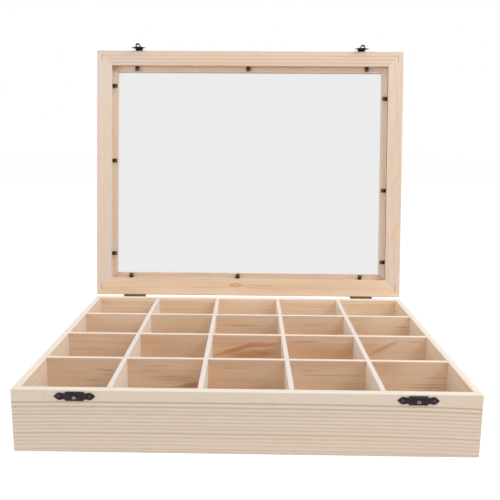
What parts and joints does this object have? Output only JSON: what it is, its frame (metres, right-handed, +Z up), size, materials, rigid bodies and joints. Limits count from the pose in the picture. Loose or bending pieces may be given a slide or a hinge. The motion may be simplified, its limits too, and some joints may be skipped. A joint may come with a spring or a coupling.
{
  "type": "mineral specimen box",
  "caption": "Shallow wooden specimen box with a grid of square compartments and a glass-panelled lid, back hinged and fastened by swinging front latches.",
  "frame": {"origin": "centre of the tray's flat underside", "axes": "+X to the right along the hinge line, +Y towards the hinge side at the back, +Z up; the lid stands open as in the picture"},
  "size_m": [0.4, 0.3896, 0.3829],
  "materials": {
    "pine": "bare sanded pine",
    "plywood": "bare plywood",
    "pane": "clear float glass",
    "black_tabs": "black coated steel",
    "black_bronze": "blackened antique bronze",
    "aged_brass": "dulled antique brass",
    "bright_hook": "rubbed bright",
    "plain_steel": "plain steel"
  },
  "bodies": {
    "box": {"back_panel": "pine", "bottom_brads": "plain_steel", "bottom_panel": "plywood", "catch_nails": "black_bronze", "column_divider_1": "pine", "column_divider_2": "pine", "column_divider_3": "pine", "column_divider_4": "pine", "front_panel": "pine", "hinge_box_screws": "aged_brass", "left_catch_hook": "bright_hook", "left_catch_plate": "black_bronze", "left_hinge_box_leaf": "aged_brass", "left_hinge_pin": "aged_brass", "left_panel": "pine", "right_catch_hook": "bright_hook", "right_catch_plate": "black_bronze", "right_hinge_box_leaf": "aged_brass", "right_hinge_pin": "aged_brass", "right_panel": "pine", "row_divider_1": "pine", "row_divider_2": "pine", "row_divider_3": "pine"},
    "lid": {"corner_v_nails": "plain_steel", "glass_pane": "pane", "glazing_tabs": "black_tabs", "hinge_lid_screws": "aged_brass", "latch_nails": "black_bronze", "left_hinge_lid_leaf": "aged_brass", "left_latch_pin": "black_bronze", "left_latch_plate": "black_bronze", "lid_back_rail": "pine", "lid_front_rail": "pine", "lid_left_stile": "pine", "lid_right_stile": "pine", "right_hinge_lid_leaf": "aged_brass", "right_latch_pin": "black_bronze", "right_latch_plate": "black_bronze"},
    "left_tongue": {"left_latch_tongue": "black_bronze"},
    "right_tongue": {"right_latch_tongue": "black_bronze"}
  },
  "joints": [
    {"name": "lid_hinge", "type": "hinge", "parent": "box", "child": "lid", "pos_m": [0, 0.1617, 0.0572], "axis": [1, 0, 0], "range_deg": [0, 99]},
    {"name": "left_tongue_swing", "type": "hinge", "parent": "lid", "child": "left_tongue", "pos_m": [-0.1452, 0.21545, 0.37612], "axis": [1, 0, 0], "range_deg": [-145, 15]},
    {"name": "right_tongue_swing", "type": "hinge", "parent": "lid", "child": "right_tongue", "pos_m": [0.1452, 0.21545, 0.37612], "axis": [1, 0, 0], "range_deg": [-149, 11]}
  ]
}
